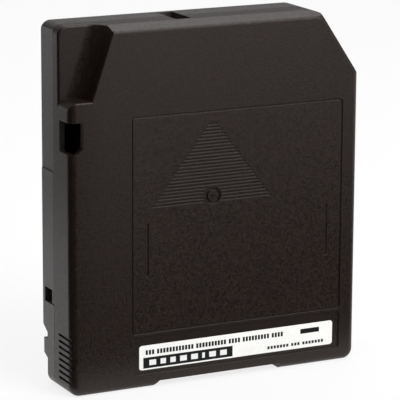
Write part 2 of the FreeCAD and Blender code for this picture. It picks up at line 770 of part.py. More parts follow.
def cut_grips(body):
    """Finger grips: a row of grooves across both side walls near the trailing end."""
    for side, across, onward in (("left", f"-{SIDE}", True), ("right", SIDE, False)):
        made = side_sketch(body, f"grip_{side}", across, "grip_up")
        rectangle(made, at("grip_back"), "0", at("grip_front"), "grip_width")
        groove = pocket(body, made, "grip_depth", onward)
        repeat_up(body, groove, "grip_pitch", "grip_count", -1)


# Back shell

def back_shell():
    """The moulded half with the drive opening, the reel's seat and the screw heads."""
    body = new_body("back_shell")
    made = casing_outline(face_sketch(body, "back_outline", "0"))
    pad(body, made, "seam")
    half = value("thickness / 2")
    round_edges(body, "back_round", lambda edge: all(abs(vertex.Y - half) < 1e-6 for vertex in edge.Vertexes))
    cavity = face_sketch(body, "back_cavity", "seam")
    meets_side, meets_lead = inner_corner()
    outline(cavity, [
        (f"-{SIDE} + wall", SWITCH_WALL, "foot_radius - wall"),
        (f"{SIDE} - wall", SWITCH_WALL, "foot_radius - wall"),
        (f"{SIDE} - wall", meets_side),
        (meets_lead, "length - lead_wall"),
        (f"-{SIDE} + wall", "length - lead_wall"),
    ])
    pocket(body, cavity, "seam - wall")

    cut_sides(body)
    cut_foot(body, "back")
    cut_lead_slot(body, "back", "slot_back", "seam")
    cut_mouth(body, "back", "wall", "seam")
    cut_gripper_notches(body)
    cut_window(body)
    pocket(body, circle(face_sketch(body, "drive_opening", "wall", "reel_across", REEL_UP), "opening_radius"),
           "wall")
    seat = face_sketch(body, "reel_seat", "wall / 2", "reel_across", REEL_UP)
    circle(circle(seat, "opening_radius + seat_width"), "opening_radius")
    pad(body, seat, "wall / 2 + seat_height")

    add_ribs(body, "back", "wall / 2", "seam - seam_gap")
    bosses = face_sketch(body, "back_bosses", "wall / 2")
    head_bores = face_sketch(body, "head_bores", "wall")
    holes = face_sketch(body, "back_holes", "boss_split")
    for across, up in SCREWS:
        circle(bosses, "boss_radius", across, up)
        circle(head_bores, "screw_head_radius + head_fit", across, up)
        circle(holes, "screw_radius + screw_fit", across, up)
    pad(body, bosses, "boss_split - wall / 2")
    pocket(body, head_bores, "wall")
    pocket(body, holes, "boss_split")
    pivot = face_sketch(body, "back_pivot", "wall / 2", DOOR_ACROSS, DOOR_UP)
    pad(body, circle(pivot, "pivot_radius"), "wall / 2 + pivot_length")
    cut_switch_window(body)
    add_chip_rails(body)
    return body


def cut_gripper_notches(body):
    """A gripper notch near the trailing end of both back edges, and the stepped heel below it."""
    for side, sign, back in (("left", "-", False), ("right", "", True)):
        block = face_sketch(body, f"gripper_block_{side}", "wall / 2")
        near, far = f"{sign}({SIDE} - gripper_across - wall)", f"{sign}({SIDE} - wall / 2)"
        rectangle(block, near, SWITCH_WALL, far, "gripper_up + gripper_height + wall")
        pad(body, block, "gripper_depth + wall / 2")
    for side, sign, onward in (("left", "-", True), ("right", "", False)):
        made = side_sketch(body, f"gripper_{side}", f"{sign}({SIDE})")
        top = "gripper_up + gripper_height"
        outline(made, [(at("-1"), "-1"),
                       (at("-1"), f"{top} + gripper_slope / gripper_depth"),
                       (at("gripper_depth"), f"{top} - gripper_slope"),
                       (at("gripper_depth"), "gripper_up"),
                       (at("heel_step"), "gripper_up"),
                       (at("heel_step"), "heel_up + heel_step"),
                       (at("gripper_depth"), "heel_up"),
                       (at("gripper_depth"), "-1")])
        pocket(body, made, "gripper_across", onward)


def cut_window(body):
    """The window in the left wall; the front shell's tab closes its front part."""
    made = side_sketch(body, "window", f"-{SIDE}")
    rectangle(made, at("window_back"), "window_up", at("seam + 1"), "window_up + window_height")
    pocket(body, made, "wall + 1", onward=True)


def cut_switch_window(body):
    """The slot in the trailing wall for the write-protect knob, and the keeper over its plate."""
    made = end_sketch(body, "switch_window", "0")
    left = SWITCH_LEFT
    half = "(knob_width / 2 + switch_fit)"
    rectangle(made, left, at(f"knob_level - {half}"),
              f"{left} + knob_length + switch_travel + 2 * switch_fit", at(f"knob_level + {half}"))
    pocket(body, made, f"{SWITCH_WALL} + 0.5", onward=True)
    keeper = face_sketch(body, "switch_keeper", "wall / 2")
    low = f"({SWITCH_WALL} + switch_plate + 2 * switch_fit)"
    rectangle(keeper, f"{left} - switch_plate_over", low,
              f"{left} + knob_length + switch_travel + switch_plate_over", f"{low} + keeper")
    pad(body, keeper, f"knob_level + knob_width / 2 - wall / 2")


def chip_corners(inner, outer, half):
    """A rectangle about the chip's middle, set at the chip's angle."""
    across, up = "cos(chip_angle * 1 deg)", "sin(chip_angle * 1 deg)"
    return [(f"({reach}) * {across} - ({side}) * {up}", f"({reach}) * {up} + ({side}) * {across}")
            for reach, side in ((inner, f"-{half}"), (outer, f"-{half}"), (outer, half), (inner, half))]


def add_chip_rails(body):
    """Two rails that hold the memory chip on edge."""
    near, far = "chip_thickness / 2 + chip_fit", "chip_thickness / 2 + chip_fit + chip_rail"
    for name, inner, outer in (("inner", f"-({far})", f"-({near})"), ("outer", near, far)):
        made = face_sketch(body, f"chip_rail_{name}", "wall / 2", CHIP_ACROSS, "chip_up")
        outline(made, chip_corners(inner, outer, "chip_length / 3"))
        pad(body, made, "wall / 2 + chip_width / 2")


# Label

def cleaning_label():
    """The white label in its recess, with bare face."""
    body = new_body("cleaning_label")
    made = face_sketch(body, "label_face", "thickness - label_recess")
    rectangle(made, f"label_side_margin - {LABEL_LEFT}", "label_bottom + label_bottom_margin",
              f"{LABEL_RIGHT} - label_side_margin", "label_bottom + label_bottom_margin + label_height",
              "label_radius")
    pad(body, made, "label_thickness")
    return body


# Reel

def teeth(body, name, level, inner, outer, angle, start, height, count, back):
    """A ring of radial teeth about the reel's axis, standing on a level."""
    made = face_sketch(body, name, level, "reel_across", REEL_UP)
    sector(made, inner, outer, start, angle)
    tooth = pad(body, made, height, back)
    return repeat_round(body, tooth, count, 1)


def reel_hub():
    """Hub with its back flange in one piece, with drive teeth behind and brake teeth inside."""
    body = new_body("reel_hub")
    made = reel_sketch(body, "hub_section")
    rim = "hub_radius - hub_wall"
    outline(made, [(at(WEB_FRONT), "0"),
                   (at(WEB_FRONT), rim),
                   (at(f"{FLANGE_FRONT} + flange_height"), rim),
                   (at(f"{FLANGE_FRONT} + flange_height"), "hub_radius - weld_step"),
                   (at(FLANGE_FRONT), "hub_radius - weld_step"),
                   (at(FLANGE_FRONT), "hub_radius"),
                   (at(f"{FLANGE_BACK} + flange_height"), "hub_radius"),
                   (at(f"{FLANGE_BACK} + flange_height"), FLANGE_RADIUS),
                   (at(FLANGE_BACK), FLANGE_RADIUS),
                   (at(FLANGE_BACK), "drive_outer"),
                   (at(f"{FLANGE_BACK} - drive_ring_height"), "drive_outer"),
                   (at(f"{FLANGE_BACK} - drive_ring_height"), "drive_inner"),
                   (at(FLANGE_BACK), "drive_inner"),
                   (at(FLANGE_BACK), "0")])
    turn(body, made)
    teeth(body, "drive_tooth", f"({FLANGE_BACK} - drive_ring_height)", "drive_inner + 0.1", "drive_outer - 0.1",
          "drive_tooth_angle", "-drive_tooth_angle / 2", "drive_tooth_height", "drive_teeth", True)
    teeth(body, "brake_tooth", WEB_FRONT, "brake_inner", "brake_outer", "brake_tooth_angle",
          "-brake_tooth_angle / 2", "brake_tooth_height", "brake_teeth", False)
    hole = face_sketch(body, "leg_hole", WEB_FRONT, "reel_across", REEL_UP)
    circle(hole, "leg_radius + leg_fit", "leg_place", "0")
    first = pocket(body, hole, "web_height")
    repeat_round(body, first, "3", -1)
    return body


def reel_flange():
    """The front flange, a plain disc that sits on the hub's step."""
    body = new_body("reel_flange")
    made = face_sketch(body, "flange_face", FLANGE_FRONT, "reel_across", REEL_UP)
    circle(circle(made, FLANGE_RADIUS), "hub_radius - weld_step + clip_fit")
    pad(body, made, "flange_height")
    return body


def cleaning_tape():
    """The wound tape, one solid ring on the hub."""
    body = new_body("cleaning_tape")
    made = face_sketch(body, "tape_face", TAPE_BACK, "reel_across", REEL_UP)
    circle(circle(made, TAPE_RADIUS), "hub_radius + clip_fit")
    pad(body, made, "tape_width")
    return body


def clutch_plate():
    """The steel ring behind the hub that the drive's magnet holds."""
    body = new_body("clutch_plate")
    made = face_sketch(body, "clutch_face", f"{FLANGE_BACK} - clutch_height", "reel_across", REEL_UP)
    circle(circle(made, "clutch_outer"), "clutch_inner")
    pad(body, made, "clutch_height")
    return body


# Brake

def brake_button():
    """The toothed button that slides on the front shell's square post and locks the hub."""
    body = new_body("brake_button")
    made = reel_sketch(body, "button_section")
    front = f"{BUTTON_BACK} + button_height"
    stub = f"{PAD_BACK} + pad_height + clip_fit"
    outline(made, [(at(stub), "0"), (at(f"{front} + sleeve_height"), "0"),
                   (at(f"{front} + sleeve_height"), "sleeve_radius"),
                   (at(front), "sleeve_radius"), (at(front), "button_radius"),
                   (at(BUTTON_BACK), "button_radius"), (at(BUTTON_BACK), "stub_radius"),
                   (at(stub), "stub_radius")])
    turn(body, made)
    bore = face_sketch(body, "button_bore", f"{front} + sleeve_height", "reel_across", REEL_UP)
    half = "(post_side / 2 + post_fit)"
    rectangle(bore, f"-{half}", f"-{half}", half, half)
    pocket(body, bore, f"{front} + sleeve_height - post_foot + brake_lift + 2 * post_fit")
    pitch = "360 / brake_teeth"
    teeth(body, "button_tooth", BUTTON_BACK, "brake_inner", "brake_outer", "brake_tooth_angle",
          f"{pitch} / 2 - brake_tooth_angle / 2", "brake_tooth_height", "brake_teeth", True)
    return body


def coil(body, name, level, across, up, radius, wire, pitch, height):
    """A wire coil about an axis through the thickness."""
    made = side_sketch(body, name, across, up)
    circle(made, f"{wire} / 2", at(f"{level} + {wire} / 2"), radius)
    helix = body.newObject("PartDesign::AdditiveHelix", f"{name}_helix")
    helix.Profile = made
    helix.ReferenceAxis = (made, ["H_Axis"])
    helix.Mode = "pitch-height-angle"
    helix.Reversed = True
    helix.setExpression("Pitch", bound(pitch))
    helix.setExpression("Height", bound(height))
    return settle(body, helix, 1)


def brake_spring():
    """The compression spring between the button and the front shell, at its pressed length."""
    body = new_body("brake_spring")
    level = f"({BUTTON_BACK} + button_height + clip_fit)"
    height = f"({FRONT_FLOOR} - {level} - brake_lift - spring_wire - clip_fit)"
    coil(body, "brake_wire", level, "reel_across", REEL_UP, "spring_radius", "spring_wire",
         f"{height} / spring_turns", height)
    return body


def release_pad():
    """The three-legged pad that the drive pushes to lift the button."""
    body = new_body("release_pad")
    made = face_sketch(body, "pad_face", PAD_BACK, "reel_across", REEL_UP)
    pad(body, circle(made, "pad_radius"), "pad_height")
    leg = face_sketch(body, "pad_leg", PAD_BACK, "reel_across", REEL_UP)
    circle(leg, "leg_radius", "leg_place", "0")
    first = pad(body, leg, "leg_length", back=True)
    repeat_round(body, first, "3", 1)
    return body


# Corner door and leader pin

def corner_door():
    """The rotary door: a curved blade on two end webs that turn on the shells' pivots."""
    body = new_body("corner_door")
    back, front = "(wall + door_end_gap)", f"({FRONT_FLOOR} - door_end_gap)"
    hub = "(pivot_radius + pivot_fit + pivot_sleeve)"
    made = face_sketch(body, "door_blade_face", back, DOOR_ACROSS, DOOR_UP)
    sector(made, "door_radius - door_blade", "door_radius", "door_low_angle", "door_span")
    pad(body, made, f"{front} - {back}")
    for name, level in (("back", back), ("front", f"({front} - door_web)")):
        web = face_sketch(body, f"door_web_{name}", level, DOOR_ACROSS, DOOR_UP)
        sector(web, "pivot_radius + pivot_fit + pivot_sleeve / 2", "door_radius - door_blade / 2",
               "door_low_angle", "door_span")
        pad(body, web, "door_web")
        inner = back if name == "back" else f"({front} - pivot_sleeve_length)"
        sleeve = face_sketch(body, f"door_sleeve_{name}", inner, DOOR_ACROSS, DOOR_UP)
        circle(circle(sleeve, hub), "pivot_radius + pivot_fit")
        pad(body, sleeve, "pivot_sleeve_length")
    return body


def door_spring():
    """The torsion spring round the door's back sleeve."""
    body = new_body("door_spring")
    level = "(wall + door_end_gap + door_web + 0.1)"
    coil(body, "door_wire", level, DOOR_ACROSS, DOOR_UP, "door_spring_radius", "door_spring_wire",
         "door_spring_wire * 1.25", "door_spring_wire * 1.25 * door_spring_turns")
    return body


def pin_sketch(body, name):
    return side_sketch(body, name, PIN_ACROSS, PIN_UP)


def leader_pin():
    """The turned steel pin, with a head at each end and two collars beside the tape."""
    body = new_body("leader_pin")
    made = pin_sketch(body, "pin_section")
    back, front = "(wall + pin_end_gap)", f"({FRONT_FLOOR} - pin_end_gap)"
    collar_back, collar_front = f"({TAPE_BACK} - tape_gap)", f"({TAPE_FRONT} + tape_gap)"
    outline(made, [(at(back), "0"), (at(front), "0"),
                   (at(front), "pin_head_radius"), (at(f"{front} - pin_head"), "pin_head_radius"),
                   (at(f"{front} - pin_head"), "pin_radius"),
                   (at(f"{collar_front} + pin_collar"), "pin_radius"),
                   (at(f"{collar_front} + pin_collar"), "pin_head_radius"),
                   (at(collar_front), "pin_head_radius"), (at(collar_front), "pin_radius"),
                   (at(collar_back), "pin_radius"), (at(collar_back), "pin_head_radius"),
                   (at(f"{collar_back} - pin_collar"), "pin_head_radius"),
                   (at(f"{collar_back} - pin_collar"), "pin_radius"),
                   (at(f"{back} + pin_head"), "pin_radius"), (at(f"{back} + pin_head"), "pin_head_radius"),
                   (at(back), "pin_head_radius")])
    turn(body, made)
    return body


def pin_clip():
    """The plastic clip that snaps over the tape's end on the pin, open on the side away from the tape."""
    body = new_body("pin_clip")
    made = face_sketch(body, "clip_face", TAPE_BACK, PIN_ACROSS, PIN_UP)
    sector(made, "pin_radius + clip_fit", "pin_radius + clip_fit + clip_wall", "120", "280")
    pad(body, made, "tape_width")
    return body


def pin_spring(label, level):
    """A leaf bent to a U round one head of the parked pin, open towards the corner."""
    body = new_body(label)
    made = face_sketch(body, f"{label}_face", level, PIN_ACROSS, PIN_UP)
    inner, outer = "(pin_head_radius + leaf_fit)", "(pin_head_radius + leaf_fit + leaf)"
    outer_ends = leaf_corners("leaf_reach", outer)
    inner_ends = leaf_corners("leaf_reach", inner)
    outer_foot = leaf_corners(f"(-{outer})", outer)
    inner_foot = leaf_corners(f"(-{inner})", inner)
    outline(made, [outer_ends[0], outer_foot[0], outer_foot[1], outer_ends[1],
                   inner_ends[1], inner_foot[1], inner_foot[0], inner_ends[0]])
    pad(body, made, "pin_head - 0.1")
    return body


def tape_leader():
    """The straight run of tape from the clip to the wound tape, which it meets as a tangent."""
    body = new_body("tape_leader")
    reach = math.hypot(value(PIN_ACROSS) - value("reel_across"), value(PIN_UP) - value(REEL_UP))
    wound = value(f"{TAPE_RADIUS} + leader_gap + leader_thickness / 2")
    bearing = math.atan2(value(PIN_UP) - value(REEL_UP), value(PIN_ACROSS) - value("reel_across"))
    along = bearing - math.acos(wound / reach)
    touch = Vector(wound * math.cos(along), wound * math.sin(along), 0)
    pin = Vector(value(PIN_ACROSS) - value("reel_across"), value(PIN_UP) - value(REEL_UP), 0)
    run = (pin - touch).normalize()
    start = pin - run * value("pin_radius + 2 * clip_fit + clip_wall")
    side = Vector(-run.y, run.x, 0) * value("leader_thickness / 2")
    made = face_sketch(body, "leader_face", TAPE_BACK, "reel_across", REEL_UP)
    corners = [touch - side, start - side, start + side, touch + side]
    for first, second in zip(corners, corners[1:] + corners[:1]):
        made.addGeometry(Part.LineSegment(first, second), False)
    pad(body, made, "tape_width")
    return body


# Small pieces of the casing

def write_protect_switch():
    """The sliding knob in the trailing wall, with its plate inside the casing."""
    body = new_body("write_protect_switch")
    left = f"({SWITCH_LEFT} + switch_fit)"
    half = "knob_width / 2"
    made = end_sketch(body, "knob_face", "knob_inset")
    rectangle(made, left, at(f"knob_level - {half}"), f"{left} + knob_length", at(f"knob_level + {half}"))
    pad(body, made, f"{SWITCH_WALL} + switch_fit / 2 - knob_inset")
    plate = end_sketch(body, "switch_plate_face", f"{SWITCH_WALL} + switch_fit / 2")
    rectangle(plate, f"{left} - switch_plate_over", at(f"knob_level - {half} - 1"),
              f"{left} + knob_length + switch_plate_over", at(f"knob_level + {half} + 1"))
    pad(body, plate, "switch_plate")
    groove = end_sketch(body, "knob_groove", "knob_inset")
    for place in ("0.25", "0.5", "0.75"):
        middle = f"({left} + knob_length * {place})"
        rectangle(groove, f"{middle} - knob_length / 20", at(f"knob_level - {half} + 0.5"),
                  f"{middle} + knob_length / 20", at(f"knob_level + {half} - 0.5"))
    pocket(body, groove, "knob_inset / 2", onward=True)
    return body


def memory_chip():
    """The contactless memory card, standing between its rails in the trailing corner."""
    body = new_body("memory_chip")
    made = face_sketch(body, "chip_face", "wall + 0.1", CHIP_ACROSS, "chip_up")
    outline(made, chip_corners("-chip_thickness / 2", "chip_thickness / 2", "chip_length / 2"))
    pad(body, made, "chip_width")
    return body


def shell_screws():
    """The like screws that join the shells from the back, each with a six-pointed drive recess."""
    radius, head = value("screw_radius"), value("screw_head_radius")
    seat = value("wall")
    top, tip = seat - value("screw_head_height"), seat + value("screw_length")
    half = value("thickness / 2")
    screws = []
    for across, up in SCREWS:
        x, z = value(across), value(up)
        toward = Vector(0, -1, 0)
        solid = Part.makeCylinder(head, seat - top, Vector(x, half - top, z), toward)
        shank = Part.makeCylinder(radius, tip - seat - radius, Vector(x, half - seat, z), toward)
        point = Part.makeCone(radius, radius / 4, radius, Vector(x, half - tip + radius, z), toward)
        solid = solid.fuse([shank, point])
        corners = []
        for number in range(13):
            reach = head * (0.5 if number % 2 else 0.36)
            angle = math.radians(30 * number)
            corners.append(Vector(x + reach * math.cos(angle), half - top, z + reach * math.sin(angle)))
        recess = Part.Face(Part.makePolygon(corners)).extrude(toward * (seat - top) * 0.7)
        screws.append(solid.cut(recess))
    feature = doc.addObject("Part::Feature", "shell_screws")
    feature.Label = "shell_screws"
    feature.Shape = Part.makeCompound(screws)
    return feature


PIECES = [
    front_shell(), back_shell(), cleaning_label(),
    reel_hub(), reel_flange(), cleaning_tape(), clutch_plate(),
    brake_button(), brake_spring(), release_pad(),
    corner_door(), door_spring(), leader_pin(), pin_clip(),
    pin_spring("pin_spring_back", "wall + pin_end_gap"),
    pin_spring("pin_spring_front", f"{FRONT_FLOOR} - pin_end_gap - pin_head + 0.1"),
    tape_leader(), write_protect_switch(), memory_chip(), shell_screws(),
]

# Check and write
doc.recompute()
for item in doc.Objects:
    if {"Invalid", "Error"} & set(item.State):
        raise RuntimeError(f"{item.Label} is {item.State}")
for piece in PIECES:
    if piece.Shape.isNull() or not piece.Shape.isValid():
        raise RuntimeError(f"{piece.Label} has no valid shape")
    piece.Shape.exportStep(f"parts/{piece.Label}.step")
    print(piece.Label, len(piece.Shape.Solids), round(piece.Shape.Volume, 1))
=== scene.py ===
import math

import bmesh
import bpy
from mathutils import Matrix, Vector


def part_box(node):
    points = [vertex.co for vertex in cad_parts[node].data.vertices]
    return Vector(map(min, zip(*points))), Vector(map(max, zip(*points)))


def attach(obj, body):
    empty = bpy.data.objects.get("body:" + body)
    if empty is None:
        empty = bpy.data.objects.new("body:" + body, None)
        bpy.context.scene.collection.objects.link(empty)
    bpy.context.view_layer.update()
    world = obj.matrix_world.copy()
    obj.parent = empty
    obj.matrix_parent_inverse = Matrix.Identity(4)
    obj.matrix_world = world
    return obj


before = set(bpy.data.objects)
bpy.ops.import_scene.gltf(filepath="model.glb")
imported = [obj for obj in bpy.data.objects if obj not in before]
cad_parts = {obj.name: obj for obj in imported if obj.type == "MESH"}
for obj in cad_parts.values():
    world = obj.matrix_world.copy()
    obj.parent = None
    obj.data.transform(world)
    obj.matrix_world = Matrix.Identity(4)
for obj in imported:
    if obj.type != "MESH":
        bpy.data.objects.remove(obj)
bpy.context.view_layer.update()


# Camera
# It stands to the left of the cartridge and a little above, just under a metre away, with a long lens, and
# leans by about a quarter of a degree. It looks at a point of the front face.

CAMERA_TARGET = Vector((-0.0067, -0.01225, 0.0638))
CAMERA_LEFT = math.radians(26.6)
CAMERA_ABOVE = math.radians(13.30)
CAMERA_LEAN = math.radians(0.28)
CAMERA_DISTANCE = 0.856
FRAME_PIXELS = 400
FOCAL_PIXELS = 2533.0
SENSOR_WIDTH = 36
NEAREST_SEEN = 0.01
FARTHEST_SEEN = 20

toward = Vector((-math.sin(CAMERA_LEFT) * math.cos(CAMERA_ABOVE),
                 -math.cos(CAMERA_LEFT) * math.cos(CAMERA_ABOVE),
                 math.sin(CAMERA_ABOVE)))
level_right = Vector((0, 0, 1)).cross(toward).normalized()
level_up = toward.cross(level_right)
lean_right = math.cos(CAMERA_LEAN) * level_right + math.sin(CAMERA_LEAN) * level_up
lean_up = math.cos(CAMERA_LEAN) * level_up - math.sin(CAMERA_LEAN) * level_right
camera_data = bpy.data.cameras.new("camera")
camera_data.sensor_width = SENSOR_WIDTH
camera_data.lens = SENSOR_WIDTH * FOCAL_PIXELS / FRAME_PIXELS
camera_data.clip_start = NEAREST_SEEN
camera_data.clip_end = FARTHEST_SEEN
camera = bpy.data.objects.new("camera", camera_data)
camera.matrix_world = (Matrix.Translation(CAMERA_TARGET + toward * CAMERA_DISTANCE)
                       @ Matrix((lean_right, lean_up, toward)).transposed().to_4x4())
bpy.context.scene.collection.objects.link(camera)
bpy.context.scene.camera = camera


# Lamps and sky
# The soft boxes of a product table: a wide one overhead draws the bevel of the leading edge, one behind
# lights the leading wall, and two at the right front light the face. The sky is dim near the table.

def soft_box(name, place, aim, size, watts):
    """A rectangular lamp that stands at a place and is turned towards its aim."""
    lamp = bpy.data.lights.new(name, "AREA")
    lamp.shape = "RECTANGLE"
    lamp.size, lamp.size_y = size
    lamp.energy = watts
    holder = bpy.data.objects.new(name, lamp)
    holder.location = place
    holder.rotation_euler = (Vector(aim) - Vector(place)).to_track_quat("-Z", "Y").to_euler()
    bpy.context.scene.collection.objects.link(holder)


CASING_MIDDLE = (0, 0, 0.06)
CASING_UPPER = (0, 0, 0.1)
soft_box("overhead_box", place=(-0.1, 0.1, 1.1), aim=CASING_MIDDLE, size=(1.5, 1.5), watts=5.7)
soft_box("back_box", place=(0.42, 0.75, 0.95), aim=CASING_MIDDLE, size=(0.7, 0.6), watts=1.9)
soft_box("front_box", place=(0.35, -0.9, 1.0), aim=CASING_MIDDLE, size=(0.8, 0.8), watts=10.5)
soft_box("low_box", place=(0.30, -0.62, 0.34), aim=CASING_UPPER, size=(0.4, 0.25), watts=1.0)

# Each stop is a height, from 0 level with the table to 1 overhead, and the sky's grey there.
SKY_STRENGTH = 0.42
SKY_STOPS = [(0.15, 0.2), (0.65, 1.0)]

world = bpy.data.worlds.new("studio")
world.use_nodes = True
nodes, links = world.node_tree.nodes, world.node_tree.links
sky = nodes["Background"]
sky.inputs["Strength"].default_value = SKY_STRENGTH
direction = nodes.new("ShaderNodeTexCoord")
heights = nodes.new("ShaderNodeSeparateXYZ")
fade = nodes.new("ShaderNodeValToRGB")
fade.color_ramp.interpolation = "EASE"
for stop, (height, grey) in zip(fade.color_ramp.elements, SKY_STOPS):
    stop.position = height
    stop.color = (grey, grey, grey, 1)
links.new(direction.outputs["Generated"], heights.inputs[0])
links.new(heights.outputs["Z"], fade.inputs["Fac"])
links.new(fade.outputs["Color"], sky.inputs["Color"])
bpy.context.scene.world = world
bpy.context.scene.view_settings.view_transform = "Standard"


# Black cards
# Three cards that only gloss sees. A bent one round the left front darkens the rounded edge and the pocket's
# wall, one behind at the left darkens the left wall, and one before the cartridge the lower part of its face.

card_black = bpy.data.materials.new("card_black")
card_black.use_nodes = True
card_surface = card_black.node_tree.nodes["Principled BSDF"]
card_surface.inputs["Base Color"].default_value = (0.005, 0.005, 0.005, 1)
card_surface.inputs["Specular IOR Level"].default_value = 0


def black_card(name, quads):
    """A card of one or more quads, seen by nothing but gloss."""
    mesh = bpy.data.meshes.new(name)
    mesh.from_pydata([corner for quad in quads for corner in quad], [],
                     [tuple(range(4 * number, 4 * number + 4)) for number in range(len(quads))])
    mesh.materials.append(card_black)
    made = bpy.data.objects.new(name, mesh)
    bpy.context.scene.collection.objects.link(made)
    made.visible_camera = made.visible_diffuse = made.visible_shadow = made.visible_transmission = False


CARD_LEVEL = 0.0005


def lying_quad(*corners):
    """A quad that lies just above the floor."""
    return [(*corner, CARD_LEVEL) for corner in corners]


CARD_TALL = 0.3
CARD_BENDS = [(-0.04, -0.055), (-0.085, -0.05), (-0.095, 0.0), (-0.095, 0.035)]
CARD_FOOT = [(-0.05, -0.02), (-0.062, -0.01), (-0.062, 0.0)]
standing = [[(*near, 0), (*far, 0), (*far, CARD_TALL), (*near, CARD_TALL)]
            for near, far in zip(CARD_BENDS, CARD_BENDS[1:])]
lying = [lying_quad(foot, next_foot, next_bend, bend)
         for foot, next_foot, bend, next_bend in zip(CARD_FOOT, CARD_FOOT[1:], CARD_BENDS, CARD_BENDS[1:])]
black_card("edge_card", standing + lying)
black_card("side_card", [lying_quad((-0.1, 0.22), (-0.22, 0.22), (-0.4, 0.6), (-0.2, 0.6))])
black_card("face_card", [lying_quad((-0.05, -0.03), (0.25, -0.03), (0.40, -0.44), (0.09, -0.44))])


# Floor
# A white table top that turns up far away on all sides, so that a low view sees no dark strip behind it. The
# camera and gloss see four fifths of it as plain white, and the rest keeps the cartridge's shadow.

# Each bend of the sweep is half the floor's width there, and its height.
FLOOR_SWEEP = [(6.0, 0), (6.2, 0.05), (6.3, 0.2), (6.3, 0.7)]
FLOOR_DROP = 0.00002
FLOOR_CORNERS = ((-1, -1), (1, -1), (1, 1), (-1, 1))
floor_mesh = bpy.data.meshes.new("floor")
floor_mesh.from_pydata([(half * x, half * y, height) for half, height in FLOOR_SWEEP
                        for x, y in FLOOR_CORNERS], [],
                       [(0, 1, 2, 3)]
                       + [(4 * ring + side, 4 * ring + (side + 1) % 4,
                           4 * ring + 4 + (side + 1) % 4, 4 * ring + 4 + side)
                          for ring in range(len(FLOOR_SWEEP) - 1) for side in range(4)])
floor = bpy.data.objects.new("floor", floor_mesh)
floor.location.z = -FLOOR_DROP
bpy.context.scene.collection.objects.link(floor)

PLAIN_WHITE_SHARE = 0.8
table_white = bpy.data.materials.new("table_white")
table_white.use_nodes = True
nodes, links = table_white.node_tree.nodes, table_white.node_tree.links
table_surface = nodes["Principled BSDF"]
table_surface.inputs["Base Color"].default_value = (0.93, 0.93, 0.93, 1)
table_surface.inputs["Roughness"].default_value = 0.9
table_surface.inputs["Specular IOR Level"].default_value = 0.1
plain_white = nodes.new("ShaderNodeEmission")
ray = nodes.new("ShaderNodeLightPath")
camera_or_gloss, any_of_three, share = (nodes.new("ShaderNodeMath") for number in range(3))
camera_or_gloss.operation = any_of_three.operation = "MAXIMUM"
share.operation = "MULTIPLY"
share.inputs[1].default_value = PLAIN_WHITE_SHARE
links.new(ray.outputs["Is Camera Ray"], camera_or_gloss.inputs[0])
links.new(ray.outputs["Is Glossy Ray"], camera_or_gloss.inputs[1])
links.new(camera_or_gloss.outputs[0], any_of_three.inputs[0])
links.new(ray.outputs["Is Transmission Ray"], any_of_three.inputs[1])
links.new(any_of_three.outputs[0], share.inputs[0])
table_mix = nodes.new("ShaderNodeMixShader")
links.new(share.outputs[0], table_mix.inputs["Fac"])
links.new(table_surface.outputs[0], table_mix.inputs[1])
links.new(plain_white.outputs[0], table_mix.inputs[2])
links.new(table_mix.outputs[0], nodes["Material Output"].inputs["Surface"])
floor_mesh.materials.append(table_white)


# Shells
# Two halves moulded in glass-filled polycarbonate, screwed together from the back. The tool has a fine
# spark-eroded grain, which gives the dark faces their dull speckle and keeps finger marks away.

def moulded_grain():
    """Grain of a moulded face: its height, the shade of its fine speckle, and that of its wide clouds."""
    group = bpy.data.node_groups.new("moulded_grain", "ShaderNodeTree")
    for name, number in (("Grain size", 0.0004), ("Cloud size", 0.02), ("Cloud share", 0.3)):
        group.interface.new_socket(name, in_out="INPUT", socket_type="NodeSocketFloat").default_value = number
    for name in ("Height", "Speckle", "Cloud"):
        group.interface.new_socket(name, in_out="OUTPUT", socket_type="NodeSocketFloat")
    nodes, links = group.nodes, group.links
    entry = nodes.new("NodeGroupInput")
    leave = nodes.new("NodeGroupOutput")
    place = nodes.new("ShaderNodeTexCoord")

    def noise(size_name, detail, roughness):
        scale = nodes.new("ShaderNodeMath")
        scale.operation = "DIVIDE"
        scale.inputs[0].default_value = 1
        links.new(entry.outputs[size_name], scale.inputs[1])
        made = nodes.new("ShaderNodeTexNoise")
        made.inputs["Detail"].default_value = detail
        made.inputs["Roughness"].default_value = roughness
        links.new(place.outputs["Object"], made.inputs["Vector"])
        links.new(scale.outputs[0], made.inputs["Scale"])
        return made

    fine = noise("Grain size", detail=2, roughness=0.6)
    wide = noise("Cloud size", detail=3, roughness=0.5)
    spread = nodes.new("ShaderNodeMapRange")
    spread.inputs["From Min"].default_value = 0.38
    spread.inputs["From Max"].default_value = 0.64
    links.new(fine.outputs["Fac"], spread.inputs["Value"])
    fainter = nodes.new("ShaderNodeMath")
    fainter.operation = "MULTIPLY"
    links.new(wide.outputs["Fac"], fainter.inputs[0])
    links.new(entry.outputs["Cloud share"], fainter.inputs[1])
    links.new(fine.outputs["Fac"], leave.inputs["Height"])
    links.new(spread.outputs[0], leave.inputs["Speckle"])
    links.new(fainter.outputs[0], leave.inputs["Cloud"])
    return group


SPECKLE_SHARE = 0.8
GRAIN_DULLNESS = 0.07
EDGE_SAMPLES = 6


